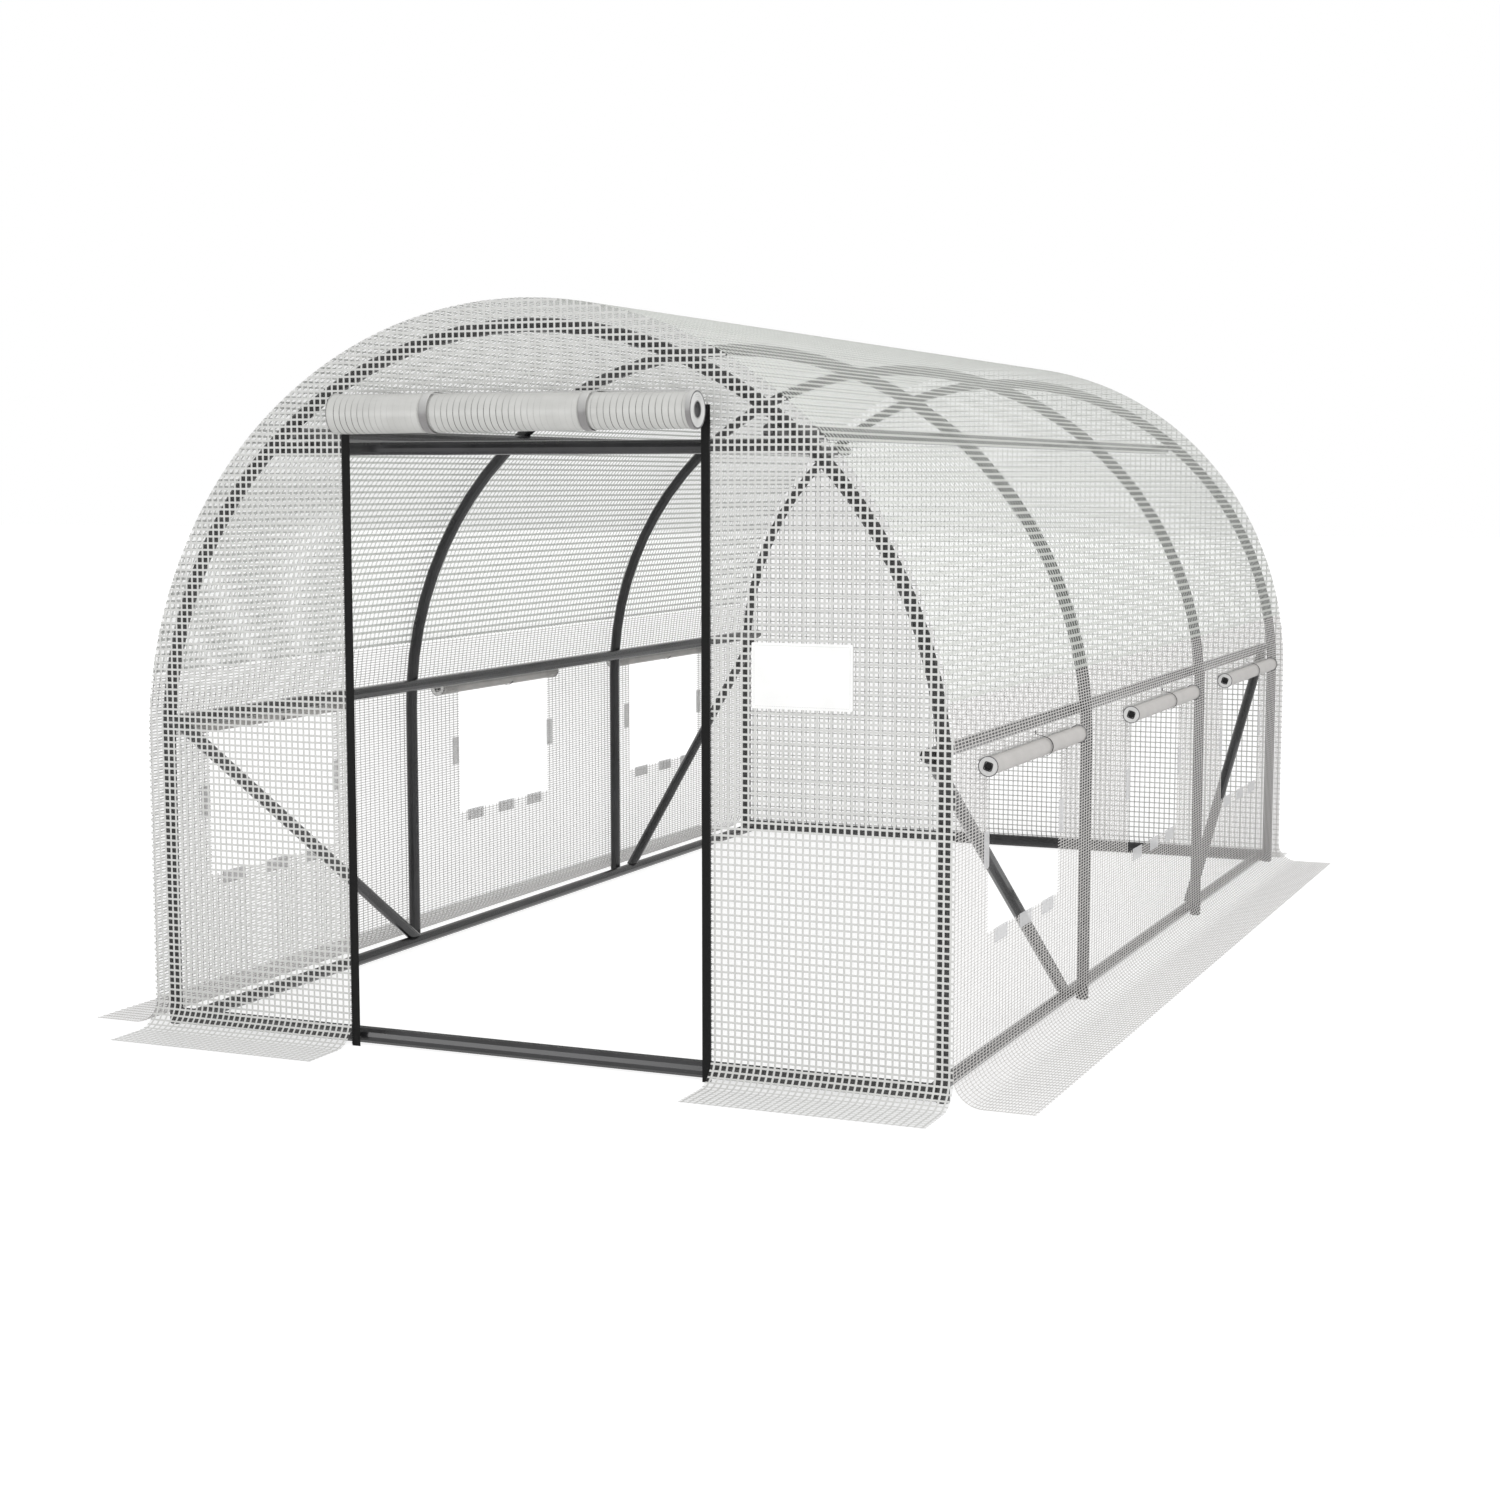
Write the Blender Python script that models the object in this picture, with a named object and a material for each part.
"""Walk-in polytunnel: steel hoops, rails and braces under a scrim film cover with a roll-up door
and six roll-up windows. Metres, +Z up. The door end faces -Y. The origin is on the ground, in the
middle of the footprint."""
import math

import bmesh
import bpy
from mathutils import Vector

# Clearance between pieces that touch
FIT = 0.0003

# Tubes
TUBE_DIAMETER = 0.038
TUBE_WALL = 0.0012
TUBE_SIDES = 12
SILL_DIAMETER = 0.048
SWAGE_DEPTH = 0.06
SOCKET_SLACK = 0.002
DOME_DEPTH = 0.013
DOME_STEPS = 3
FOOT_CHAMFER = 0.003

# Hoops
HOOP_WIDTH = 2.352
SPRING_HEIGHT = 0.81
LEG_TOP = 0.74
ARCH_STEPS_BELOW_BAR = 9
ARCH_STEPS_ABOVE_PURLIN = 8
FRAME_LENGTH = 4.273
MIDDLE_BAY = 1.567

# Rails, crossbar and braces
WAIST_HEIGHT = 0.89
CROSSBAR_HEIGHT = 1.664
CROSSBAR_OVERHANG = 0.012
RAIL_JOINT_OFFSET = 0.04
BRACE_FOOT_INSET = 0.075
BRACE_TOP_INSET = 0.018

# Cover
FILM = 0.0025
COVER_SIDE_GAP = 0.0367
COVER_END_GAP = 0.039
COVER_CROWN_GAP = 0.068
SEAM_RISE = 0.155
SEAM_LAP = 0.02
SKIRT_REACH = 0.22
SKIRT_CURL = 0.08
SKIRT_STEPS = 6
ROOF_STEPS = 36

# Door
DOOR_WIDTH = 1.06
DOOR_TOP = 1.775
DOOR_ROLL_DIAMETER = 0.115
DOOR_ROLL_LENGTH = 1.065
DOOR_ROLL_SHIFT = 0.0125
DOOR_ROLL_DROP = 0.02
DOOR_ROLL_STANDOFF = 0.012
DOOR_ROLL_CORE = 0.043
DOOR_ROLL_TURNS = 7
DOOR_SEAM_RISE = 0.035
DOOR_HEM = 0.02
DOOR_TURN_POINTS = 16
DOOR_TAIL_SHOULDER = 0.012
DOOR_TAIL_MARGIN = 0.004

# Zips
ZIP_WIDTH = 0.025
ZIP_THICKNESS = 0.0022
ZIP_SPACING = 1.075
ZIP_END_GAP = 0.005
SLIDER_WIDTH = 0.016
SLIDER_HEIGHT = 0.03
SLIDER_DEPTH = 0.0055
SLIDER_NECK = 0.6
SLIDER_TOP_GAP = 0.002
PULL_WIDTH = 0.009
PULL_LENGTH = 0.034
PULL_THICKNESS = 0.002

# Door straps
STRAP_WIDTH = 0.023
STRAP_THICKNESS = 0.0015
STRAP_PLACES = (-0.224, 0.243)
STRAP_HEM_GAP = 0.002
STRAP_STEPS = 14
STRAP_START = 0.53
STRAP_END = -0.95

# Windows
WINDOW_WIDTH = 0.67
WINDOW_BOTTOM = 0.40
WINDOW_SEAM_RISE = 0.005
WINDOW_TOP_DROP = 0.03
WINDOW_ROLL_DROP = 0.045
WINDOW_SHIFTS = (-0.095, -0.06, -0.125)
WINDOW_ROLL_DIAMETER = 0.053
WINDOW_ROLL_LENGTH = 0.87
WINDOW_ROLL_CORE = 0.02
WINDOW_ROLL_TURNS = 4
WINDOW_TURN_POINTS = 12

# Sizes that follow from those above
TUBE_RADIUS = TUBE_DIAMETER / 2
BORE_RADIUS = TUBE_RADIUS - TUBE_WALL
SPIGOT_RADIUS = BORE_RADIUS - FIT
SILL_RADIUS = SILL_DIAMETER / 2
SOCKET_DEPTH = SWAGE_DEPTH + SOCKET_SLACK
ARCH_RADIUS = HOOP_WIDTH / 2
HALF_LENGTH = FRAME_LENGTH / 2
END_BAY_CENTRE = (FRAME_LENGTH + MIDDLE_BAY) / 4
CROSSING = TUBE_DIAMETER + FIT
WAIST_ANGLE = math.asin((WAIST_HEIGHT - SPRING_HEIGHT) / ARCH_RADIUS)
CROSSBAR_ANGLE = math.asin((CROSSBAR_HEIGHT - SPRING_HEIGHT) / ARCH_RADIUS)
PURLIN_HEIGHT = CROSSBAR_HEIGHT + CROSSING
PURLIN_ANGLE = math.asin((PURLIN_HEIGHT - SPRING_HEIGHT) / (ARCH_RADIUS - CROSSING))
GROUND_RAIL_X = ARCH_RADIUS - CROSSING
WAIST_RAIL_X = (ARCH_RADIUS - TUBE_RADIUS) * math.cos(WAIST_ANGLE) - TUBE_RADIUS - FIT
PURLIN_X = (ARCH_RADIUS - CROSSING) * math.cos(PURLIN_ANGLE)
COVER_INSIDE = HALF_LENGTH + COVER_END_GAP
RAIL_END = COVER_INSIDE - FIT
RAIL_JOINT = MIDDLE_BAY / 2 - RAIL_JOINT_OFFSET
WALL_MIDDLE_X = ARCH_RADIUS + COVER_SIDE_GAP + FILM / 2
WALL_RISE = ARCH_RADIUS + COVER_CROWN_GAP - FILM - FIT
ROOF_OFFSET = FILM + FIT
ZIP_FACE = COVER_INSIDE + FILM + FIT + ZIP_THICKNESS
SKIRT_START = ZIP_SPACING / 2 + ZIP_WIDTH / 2 + FIT
DOOR_ROLL_HEIGHT = DOOR_TOP - DOOR_ROLL_DROP
DOOR_SEAM = DOOR_TOP + DOOR_SEAM_RISE
ZIP_TOP = DOOR_TOP - ZIP_END_GAP
SLIDER_HEIGHT_AT_REST = ZIP_TOP - SLIDER_TOP_GAP - SLIDER_HEIGHT
SEAM_HEIGHT = WAIST_HEIGHT + SEAM_RISE
BAY_CENTRES = (-END_BAY_CENTRE, 0, END_BAY_CENTRE)
WINDOW_CENTRES = [centre + shift for centre, shift in zip(BAY_CENTRES, WINDOW_SHIFTS)]
WINDOW_SEAM = WAIST_HEIGHT + WINDOW_SEAM_RISE
WINDOW_TOP = WINDOW_SEAM - WINDOW_TOP_DROP
WINDOW_ROLL_HEIGHT = WINDOW_SEAM - WINDOW_ROLL_DROP

HOOPS = {
    "front": -HALF_LENGTH,
    "second": -MIDDLE_BAY / 2,
    "third": MIDDLE_BAY / 2,
    "rear": HALF_LENGTH,
}
SIDES = {"left": -1, "right": 1}
WINDOWS = dict(zip(("front", "middle", "rear"), WINDOW_CENTRES))

X = Vector((1, 0, 0))
Y = Vector((0, 1, 0))
Z = Vector((0, 0, 1))


# Scene, materials and objects

def clear_scene():
    for item in list(bpy.data.objects):
        bpy.data.objects.remove(item, do_unlink=True)


def make_material(name, colour, roughness, metallic=0.0, alpha=1.0):
    material = bpy.data.materials.new(name)
    material.use_nodes = True
    shader = material.node_tree.nodes["Principled BSDF"]
    shader.inputs["Base Color"].default_value = (*colour, 1.0)
    shader.inputs["Roughness"].default_value = roughness
    shader.inputs["Metallic"].default_value = metallic
    shader.inputs["Alpha"].default_value = alpha
    return material


def add_group(name):
    group = bpy.data.objects.new(name, None)
    bpy.context.collection.objects.link(group)
    return group


def finish_mesh(name, shape, smooth_angle=40):
    bmesh.ops.recalc_face_normals(shape, faces=shape.faces)
    mesh = bpy.data.meshes.new(name)
    shape.to_mesh(mesh)
    shape.free()
    mesh.shade_smooth()
    mesh.set_sharp_from_angle(angle=math.radians(smooth_angle))
    return mesh


def place(name, mesh, material, group, location=(0, 0, 0)):
    item = bpy.data.objects.new(name, mesh)
    bpy.context.collection.objects.link(item)
    item.location = location
    item.parent = group
    if not mesh.materials:
        mesh.materials.append(material)
    return item


# Tubes: closed shapes through rings, each ring a centre, a direction and a radius

def ring_points(centre, along, side, radius):
    up = along.cross(side)
    angles = [2 * math.pi * k / TUBE_SIDES for k in range(TUBE_SIDES)]
    return [centre + radius * (math.cos(a) * side + math.sin(a) * up) for a in angles]


def skin(name, rings):
    shape = bmesh.new()
    loops = [[shape.verts.new(point) for point in ring] for ring in rings]
    for near, far in zip(loops, loops[1:]):
        for k in range(len(near)):
            shape.faces.new((near[k - 1], near[k], far[k], far[k - 1]))
    shape.faces.new(loops[0])
    shape.faces.new(loops[-1])
    return finish_mesh(name, shape)


def straight_tube(name, along, side, profile):
    """A tube from the local origin, through (distance, radius) steps."""
    return skin(name, [ring_points(along * far, along, side, radius) for far, radius in profile])


def domed_start(radius=TUBE_RADIUS):
    steps = []
    for k in range(1, DOME_STEPS + 1):
        turn = math.pi / 2 * k / DOME_STEPS
        rise = math.cos(math.pi / 2 / DOME_STEPS) - math.cos(turn)
        steps.append((DOME_DEPTH * rise, radius * math.sin(turn)))
    return steps


def mirrored(profile, length):
    return [(length - far, radius) for far, radius in reversed(profile)]


def socket_end(length):
    return [
        (length, TUBE_RADIUS),
        (length, BORE_RADIUS),
        (length - SOCKET_DEPTH, BORE_RADIUS),
    ]


def spigot_end(length):
    return [
        (length, TUBE_RADIUS),
        (length, SPIGOT_RADIUS),
        (length + SWAGE_DEPTH, SPIGOT_RADIUS),
    ]


# Hoops: two legs and two quarter arches, push fitted

def leg_mesh():
    foot = [(0, TUBE_RADIUS - FOOT_CHAMFER), (FOOT_CHAMFER, TUBE_RADIUS)]
    return straight_tube("leg", Z, Y, foot + spigot_end(LEG_TOP - FIT))


def arch_point(sign, angle):
    return Vector((
        sign * ARCH_RADIUS * math.cos(angle),
        0,
        SPRING_HEIGHT + ARCH_RADIUS * math.sin(angle),
    ))


def arch_ring(sign, angle, radius):
    along = Vector((-sign * math.sin(angle), 0, math.cos(angle)))
    return ring_points(arch_point(sign, angle), along, Y, radius)


def spread(start, end, steps):
    return [start + (end - start) * k / steps for k in range(1, steps + 1)]


def arch_mesh(sign):
    """A quarter of the arch: a socket over the leg, rings where rails cross, a joint at the crown."""
    crown = math.pi / 2
    bend = [0, WAIST_ANGLE]
    bend += spread(WAIST_ANGLE, CROSSBAR_ANGLE, ARCH_STEPS_BELOW_BAR)
    bend += [PURLIN_ANGLE]
    bend += spread(PURLIN_ANGLE, crown, ARCH_STEPS_ABOVE_PURLIN)[:-1]
    mouth = Vector((sign * ARCH_RADIUS, 0, LEG_TOP))
    rings = [ring_points(mouth + Z * SOCKET_DEPTH, Z, Y, BORE_RADIUS)]
    rings += [ring_points(mouth, Z, Y, radius) for radius in (BORE_RADIUS, TUBE_RADIUS)]
    rings += [arch_ring(sign, angle, TUBE_RADIUS) for angle in bend]
    if sign < 0:
        rings += [arch_ring(sign, crown, radius) for radius in (TUBE_RADIUS, SPIGOT_RADIUS)]
        rings.append(arch_ring(sign, crown + SWAGE_DEPTH / ARCH_RADIUS, SPIGOT_RADIUS))
    else:
        end = crown - FIT / ARCH_RADIUS
        rings += [arch_ring(sign, end, radius) for radius in (TUBE_RADIUS, BORE_RADIUS)]
        rings.append(arch_ring(sign, end - SOCKET_DEPTH / ARCH_RADIUS, BORE_RADIUS))
    return skin("arch", rings)


def build_hoops(group, steel):
    leg = leg_mesh()
    for side, sign in SIDES.items():
        arch = arch_mesh(sign)
        for hoop, y in HOOPS.items():
            place(f"leg_{hoop}_{side}", leg, steel, group, (sign * ARCH_RADIUS, y, 0))
            place(f"arch_{hoop}_{side}", arch, steel, group, (0, y, 0))


# Rails: three push-fitted lengths in a line, sills, the door crossbar and the braces

def rail_meshes(name, end, end_profile):
    """The outer length, used at both ends, and the middle length of a rail."""
    outer = end - RAIL_JOINT
    front = straight_tube(f"{name}_front", Y, X, end_profile + socket_end(outer))
    rear = straight_tube(f"{name}_rear", -Y, X, end_profile + socket_end(outer))
    half = RAIL_JOINT - FIT
    spigot = spigot_end(half)
    middle = straight_tube(f"{name}_middle", Y, X, [(-f, r) for f, r in reversed(spigot)] + spigot)
    return {"front": (front, -end), "middle": (middle, 0), "rear": (rear, end)}


def build_rails(group, steel):
    butt = [(0, TUBE_RADIUS)]
    sill_back = HALF_LENGTH - SILL_RADIUS - FIT
    lines = {
        "ground_rail": (GROUND_RAIL_X, TUBE_RADIUS, sill_back, butt),
        "waist_rail": (WAIST_RAIL_X, WAIST_HEIGHT, RAIL_END, domed_start()),
        "purlin": (PURLIN_X, PURLIN_HEIGHT, RAIL_END, domed_start()),
    }
    for line, (x, z, end, profile) in lines.items():
        meshes = rail_meshes(line, end, profile)
        for side, sign in SIDES.items():
            for part, (mesh, y) in meshes.items():
                place(f"{line}_{side}_{part}", mesh, steel, group, (sign * x, y, z))


def build_crossbars(group, steel):
    sill_length = 2 * (ARCH_RADIUS - TUBE_RADIUS - FIT)
    sill = straight_tube("sill", X, Y, [(0, SILL_RADIUS), (sill_length, SILL_RADIUS)])
    for end, y in (("front", -HALF_LENGTH), ("rear", HALF_LENGTH)):
        place(f"sill_{end}", sill, steel, group, (-sill_length / 2, y, SILL_RADIUS))
    half_bar = ARCH_RADIUS * math.cos(CROSSBAR_ANGLE) + CROSSBAR_OVERHANG
    tip = domed_start()
    bar = straight_tube("door_crossbar", X, Y, tip + mirrored(tip, 2 * half_bar))
    bar_y = -HALF_LENGTH + CROSSING
    place("door_crossbar", bar, steel, group, (-half_bar, bar_y, CROSSBAR_HEIGHT))


def brace_mesh(sign):
    """A slanting tube whose ends are cut level, to stand on the ground rail and under the waist rail."""
    foot = Vector((0, MIDDLE_BAY / 2 + BRACE_FOOT_INSET, TUBE_DIAMETER + FIT))
    head = Vector((0, HALF_LENGTH - BRACE_TOP_INSET, WAIST_HEIGHT - TUBE_RADIUS - FIT))
    foot.y *= sign
    head.y *= sign
    along = (head - foot).normalized()
    rings = []
    for end in (foot, head):
        square = ring_points(end, along, X, TUBE_RADIUS)
        rings.append([p + along * ((end.z - p.z) / along.z) - foot for p in square])
    return skin("brace", rings), foot


def build_braces(group, steel):
    x = (GROUND_RAIL_X + WAIST_RAIL_X) / 2
    for end, towards in (("front", -1), ("rear", 1)):
        mesh, foot = brace_mesh(towards)
        for side, sign in SIDES.items():
            place(f"brace_{end}_{side}", mesh, steel, group, (sign * x, foot.y, foot.z))


# Sheets: a path across the sheet, given a thickness and drawn out along its width

def path_offsets(path):
    """Unit steps square to the path at each point, lengthened at the bends."""
    points = [Vector(p) for p in path]
    normals = []
    for here, there in zip(points, points[1:]):
        step = (there - here).normalized()
        normals.append(Vector((-step.y, step.x)))
    offsets = [normals[0]]
    for before, after in zip(normals, normals[1:]):
        offsets.append((before + after) / (1 + before.dot(after)))
    offsets.append(normals[-1])
    return points, offsets


def ribbon(name, path, thickness, spans, to_space):
    """A sheet along a path, each point of the path with its own span across."""
    points, offsets = path_offsets(path)
    shape = bmesh.new()
    rows = []
    for point, offset, ends in zip(points, offsets, spans):
        row = []
        for face in (-thickness / 2, thickness / 2):
            u, v = point + offset * face
            row.append([shape.verts.new(to_space(u, v, w)) for w in ends])
        rows.append(row)
    for near, far in zip(rows, rows[1:]):
        for face in (0, 1):
            shape.faces.new((near[face][0], near[face][1], far[face][1], far[face][0]))
            shape.faces.new((near[0][face], near[1][face], far[1][face], far[0][face]))
    for row in (rows[0], rows[-1]):
        shape.faces.new((row[0][0], row[0][1], row[1][1], row[1][0]))
    return finish_mesh(name, shape)


def arc_path(centre, radius, start, end, steps):
    angles = [start + (end - start) * k / steps for k in range(steps + 1)]
    return [(centre[0] + radius * math.cos(a), centre[1] + radius * math.sin(a)) for a in angles]


def cover_curve(angle, offset):
    """A point of the cover's arch, which stands off the hoops more at the crown than at the sides."""
    across = (WALL_MIDDLE_X + offset) * math.cos(angle)
    up = SPRING_HEIGHT + (WALL_RISE + offset) * math.sin(angle)
    return across, up


def cover_angle(height):
    return math.asin((height - SPRING_HEIGHT) / WALL_RISE)


def skirt_path(wall):
    """From the skirt's free edge, along the ground and up round its curl to the wall."""
    low = FILM / 2
    curl_centre = (wall + SKIRT_CURL, low + SKIRT_CURL)
    curl = arc_path(curl_centre, SKIRT_CURL, 1.5 * math.pi, math.pi, SKIRT_STEPS)
    return [(wall + SKIRT_REACH, low)] + curl


def window_cutter(name, sign, group):
    """The three window holes of one side, as one cutting shape."""
    shape = bmesh.new()
    deep = 2 * COVER_SIDE_GAP
    for centre in WINDOW_CENTRES:
        made = bmesh.ops.create_cube(shape, size=1)["verts"]
        size = Vector((deep, WINDOW_WIDTH, WINDOW_TOP - WINDOW_BOTTOM))
        middle = Vector((sign * WALL_MIDDLE_X, centre, (WINDOW_TOP + WINDOW_BOTTOM) / 2))
        for vert in made:
            vert.co = vert.co * size + middle
    cutter = place(name, finish_mesh(name, shape), None, group)
    cutter.hide_render = True
    cutter.display_type = "WIRE"
    return cutter


def build_side_sheets(group, film):
    path = skirt_path(WALL_MIDDLE_X) + [(WALL_MIDDLE_X, WINDOW_SEAM)]
    path += [cover_curve(cover_angle(z), 0) for z in (SEAM_HEIGHT - SEAM_LAP, SEAM_HEIGHT)]
    spans = [(FIT - COVER_INSIDE, COVER_INSIDE - FIT)] * len(path)
    for side, sign in SIDES.items():
        name = f"cover_side_{side}"
        mesh = ribbon(name, path, FILM, spans, lambda u, v, w, s=sign: (s * u, w, v))
        sheet = place(name, mesh, film, group)
        cut = sheet.modifiers.new("windows", "BOOLEAN")
        cut.operation = "DIFFERENCE"
        cut.object = window_cutter(f"window_cutter_{side}", sign, group)


def build_roof(group, film):
    lap_angle = cover_angle(SEAM_HEIGHT - SEAM_LAP)
    seam_angle = cover_angle(SEAM_HEIGHT)
    bend = [lap_angle, seam_angle] + spread(seam_angle, math.pi - seam_angle, ROOF_STEPS)
    path = [cover_curve(angle, ROOF_OFFSET) for angle in bend + [math.pi - lap_angle]]
    spans = [(FIT - COVER_INSIDE, COVER_INSIDE - FIT)] * len(path)
    mesh = ribbon("cover_roof", path, FILM, spans, lambda u, v, w: (u, w, v))
    place("cover_roof", mesh, film, group)


def end_outline(door):
    """The end sheet seen from outside, above its skirt, as runs of points from right to left."""
    edge = ROOF_OFFSET + FILM / 2
    arch = [cover_curve(math.pi * k / ROOF_STEPS, edge) for k in range(ROOF_STEPS + 1)]
    base = FILM / 2 + SKIRT_CURL
    right, left = arch[0][0], arch[-1][0]
    outline = [(right, base)] + arch + [(left, base)]
    if door:
        jamb = DOOR_WIDTH / 2
        outline += [(-SKIRT_START, base), (-SKIRT_START, 0), (-jamb, 0), (-jamb, DOOR_TOP)]
        outline += [(jamb, DOOR_TOP), (jamb, 0), (SKIRT_START, 0), (SKIRT_START, base)]
    return outline


def end_sheet_mesh(name, sign, door):
    """A flat sheet whose lower edges are spun outwards and drawn out along the ground as skirts."""
    shape = bmesh.new()
    inside = sign * COVER_INSIDE
    outside = inside + sign * FILM
    verts = [shape.verts.new((x, inside, z)) for x, z in end_outline(door)]
    front = shape.faces.new(verts)
    grown = bmesh.ops.extrude_face_region(shape, geom=[front])["geom"]
    for vert in grown:
        if isinstance(vert, bmesh.types.BMVert):
            vert.co.y = outside
    base = FILM / 2 + SKIRT_CURL
    shape.normal_update()
    feet = [
        f for f in shape.faces
        if all(abs(v.co.z - base) < 1e-6 for v in f.verts) and len(f.verts) == 4
    ]
    middle = (inside + outside) / 2
    axis_point = Vector((0, middle + sign * SKIRT_CURL, base))
    flat = SKIRT_REACH - SKIRT_CURL
    for foot in feet:
        spun = bmesh.ops.spin(
            shape, geom=[foot], cent=axis_point, axis=X, angle=sign * math.pi / 2,
            steps=SKIRT_STEPS, use_duplicate=False,
        )["geom_last"]
        end = [g for g in spun if isinstance(g, bmesh.types.BMFace)]
        drawn = bmesh.ops.extrude_face_region(shape, geom=end)["geom"]
        tip = [g for g in drawn if isinstance(g, bmesh.types.BMVert)]
        bmesh.ops.translate(shape, verts=tip, vec=Vector((0, sign * flat, 0)))
        bmesh.ops.delete(shape, geom=[foot] + end, context="FACES_ONLY")
    return finish_mesh(name, shape)


def build_end_sheets(group, film):
    for name, sign, door in (("cover_front", -1, True), ("cover_rear", 1, False)):
        place(name, end_sheet_mesh(name, sign, door), film, group)


# Rolled sheets, straps and zips

def rolled_path(diameter, core, turns, per_turn):
    """A rolled sheet seen end on, from its free edge at the core to the back of the roll, where it
    leaves for the wall. The first number is the way out from the wall, the second is up."""
    last = (diameter - FILM) / 2
    first = (core + FILM) / 2
    count = turns * per_turn
    path = []
    for k in range(count + 1):
        radius = first + (last - first) * k / count
        angle = math.pi + 2 * math.pi * (count - k) / per_turn
        path.append((radius * math.cos(angle), radius * math.sin(angle)))
    return path


def build_door_roll(group, film):
    out = DOOR_ROLL_STANDOFF + DOOR_ROLL_DIAMETER / 2
    roll = rolled_path(DOOR_ROLL_DIAMETER, DOOR_ROLL_CORE, DOOR_ROLL_TURNS, DOOR_TURN_POINTS)
    back = roll[-1][0]
    on_wall = FIT + FILM / 2 - out
    seam = DOOR_SEAM - DOOR_ROLL_HEIGHT
    rise = DOOR_TAIL_SHOULDER / (seam - DOOR_HEM)
    shoulder = (back + (on_wall - back) * rise, DOOR_TAIL_SHOULDER)
    tail = [shoulder, (on_wall, seam - DOOR_HEM), (on_wall, seam)]
    half = DOOR_ROLL_LENGTH / 2
    inner = (ZIP_SPACING - ZIP_WIDTH) / 2 - DOOR_TAIL_MARGIN
    spans = [(-half, half)] * len(roll)
    spans += [(-inner - DOOR_ROLL_SHIFT, inner - DOOR_ROLL_SHIFT)] * len(tail)
    mesh = ribbon("door_roll", roll + tail, FILM, spans, lambda u, v, w: (w, -u, v))
    roll_y = -(COVER_INSIDE + FILM + out)
    place("door_roll", mesh, film, group, (DOOR_ROLL_SHIFT, roll_y, DOOR_ROLL_HEIGHT))


def build_door_straps(group, webbing):
    """Each strap is sewn to the hem of the door's seam and goes over, round and behind the roll."""
    out = DOOR_ROLL_STANDOFF + DOOR_ROLL_DIAMETER / 2
    on_hem = FIT + FILM + FIT + STRAP_THICKNESS / 2
    half_step = math.pi * (STRAP_START - STRAP_END) / STRAP_STEPS / 2
    radius = (DOOR_ROLL_DIAMETER / 2 + FIT) / math.cos(half_step) + STRAP_THICKNESS / 2
    centre = (out, DOOR_ROLL_HEIGHT)
    start, end = STRAP_START * math.pi, STRAP_END * math.pi
    round_roll = arc_path(centre, radius, start, end, STRAP_STEPS)
    sewn = [DOOR_SEAM - DOOR_HEM + STRAP_HEM_GAP, DOOR_SEAM - STRAP_HEM_GAP]
    path = [(on_hem, z) for z in sewn] + round_roll
    face = -(COVER_INSIDE + FILM)
    spans = [(-STRAP_WIDTH / 2, STRAP_WIDTH / 2)] * len(path)
    mesh = ribbon("door_strap", path, STRAP_THICKNESS, spans, lambda u, v, w: (w, -u, v))
    for side, x in zip(SIDES, STRAP_PLACES):
        place(f"door_strap_{side}", mesh, webbing, group, (x, face, 0))


def box(shape, low, high):
    made = bmesh.ops.create_cube(shape, size=1)["verts"]
    low, high = Vector(low), Vector(high)
    for vert in made:
        vert.co = vert.co * (high - low) + (low + high) / 2


def slider_mesh():
    """A zip slider: a body that narrows to its lower end, with its pull hanging in front."""
    shape = bmesh.new()
    half = SLIDER_WIDTH / 2
    narrow = half * SLIDER_NECK
    outline = [(-narrow, 0), (narrow, 0), (half, SLIDER_HEIGHT / 2), (half, SLIDER_HEIGHT)]
    outline += [(-half, SLIDER_HEIGHT), (-half, SLIDER_HEIGHT / 2)]
    body_depth = SLIDER_DEPTH - PULL_THICKNESS
    back = shape.faces.new([shape.verts.new((x, 0, z)) for x, z in outline])
    grown = bmesh.ops.extrude_face_region(shape, geom=[back])["geom"]
    for vert in grown:
        if isinstance(vert, bmesh.types.BMVert):
            vert.co.y = -body_depth
    return finish_mesh("zip_slider", shape, 30)


def pull_mesh():
    shape = bmesh.new()
    half = PULL_WIDTH / 2
    body_depth = SLIDER_DEPTH - PULL_THICKNESS
    top = SLIDER_HEIGHT * 0.75
    box(shape, (-half, -SLIDER_DEPTH, top - PULL_LENGTH), (half, FIT - body_depth, top))
    bevelled = [e for e in shape.edges if abs(e.verts[0].co.y - e.verts[1].co.y) > FIT]
    bmesh.ops.bevel(shape, geom=bevelled, offset=half / 2, segments=2, affect="EDGES")
    return finish_mesh("zip_pull", shape, 30)


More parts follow.
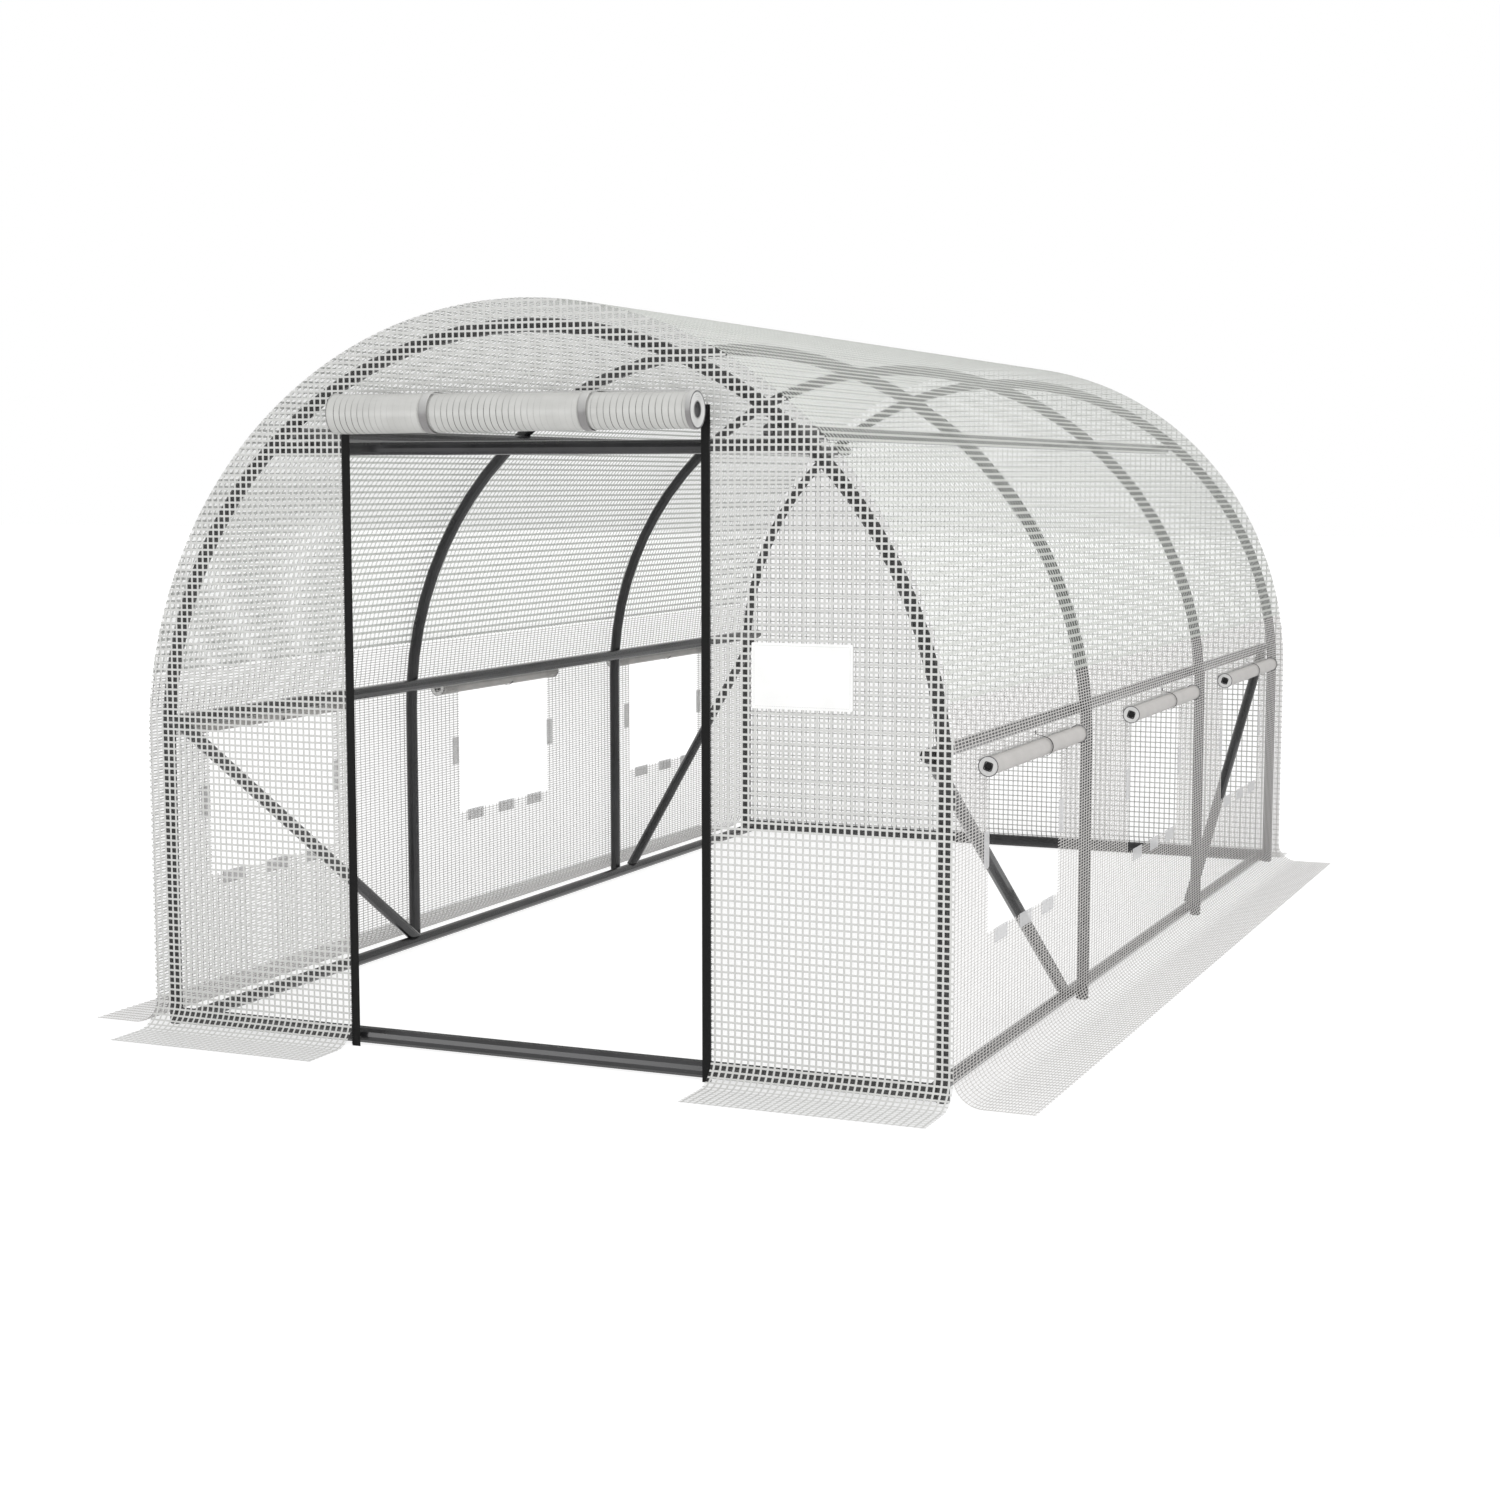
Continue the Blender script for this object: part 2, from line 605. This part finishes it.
def build_zips(group, black, metal):
    half = ZIP_WIDTH / 2
    back = -(COVER_INSIDE + FILM + FIT)
    pull_shape = pull_mesh()
    slider_shape = slider_mesh()
    for side, sign in SIDES.items():
        x = sign * ZIP_SPACING / 2
        shape = bmesh.new()
        box(shape, (-half, -ZIP_THICKNESS, 0), (half, 0, ZIP_TOP))
        place(f"zip_{side}", finish_mesh("zip", shape), black, group, (x, back, 0))
        where = (x, -ZIP_FACE - FIT, SLIDER_HEIGHT_AT_REST)
        slider = place(f"zip_slider_{side}", slider_shape, metal, group, where)
        pull = place(f"zip_pull_shape_{side}", pull_shape, metal, group, where)
        pull.hide_render = True
        pull.display_type = "WIRE"
        join = slider.modifiers.new("pull", "BOOLEAN")
        join.operation = "UNION"
        join.object = pull


def build_window_rolls(group, film):
    out = FIT + WINDOW_ROLL_DIAMETER / 2
    path = rolled_path(
        WINDOW_ROLL_DIAMETER, WINDOW_ROLL_CORE, WINDOW_ROLL_TURNS, WINDOW_TURN_POINTS,
    )
    path.append((path[-1][0], WINDOW_SEAM - WINDOW_ROLL_HEIGHT))
    face = WALL_MIDDLE_X + FILM / 2
    spans = [(-WINDOW_ROLL_LENGTH / 2, WINDOW_ROLL_LENGTH / 2)] * len(path)
    for side, sign in SIDES.items():
        name = f"window_roll_{side}"
        mesh = ribbon(name, path, FILM, spans, lambda u, v, w, s=sign: (s * u, w, v))
        for part, y in WINDOWS.items():
            place(f"{name}_{part}", mesh, film, group, (sign * (face + out), y, WINDOW_ROLL_HEIGHT))


def build():
    clear_scene()
    steel = make_material("powder_coated_steel", (0.04, 0.04, 0.042), 0.45, 0.3)
    film = make_material("scrim_film", (0.8, 0.82, 0.8), 0.35, alpha=0.35)
    rolled = make_material("rolled_film", (0.78, 0.78, 0.76), 0.45)
    webbing = make_material("grey_webbing", (0.25, 0.25, 0.25), 0.9)
    black = make_material("zip_tape", (0.01, 0.01, 0.01), 0.6)
    metal = make_material("zip_metal", (0.06, 0.06, 0.06), 0.4, 0.8)
    frame = add_group("frame")
    cover = add_group("cover")
    build_hoops(frame, steel)
    build_rails(frame, steel)
    build_crossbars(frame, steel)
    build_braces(frame, steel)
    build_side_sheets(cover, film)
    build_roof(cover, film)
    build_end_sheets(cover, film)
    build_door_roll(cover, rolled)
    build_door_straps(cover, webbing)
    build_zips(cover, black, metal)
    build_window_rolls(cover, rolled)


build()
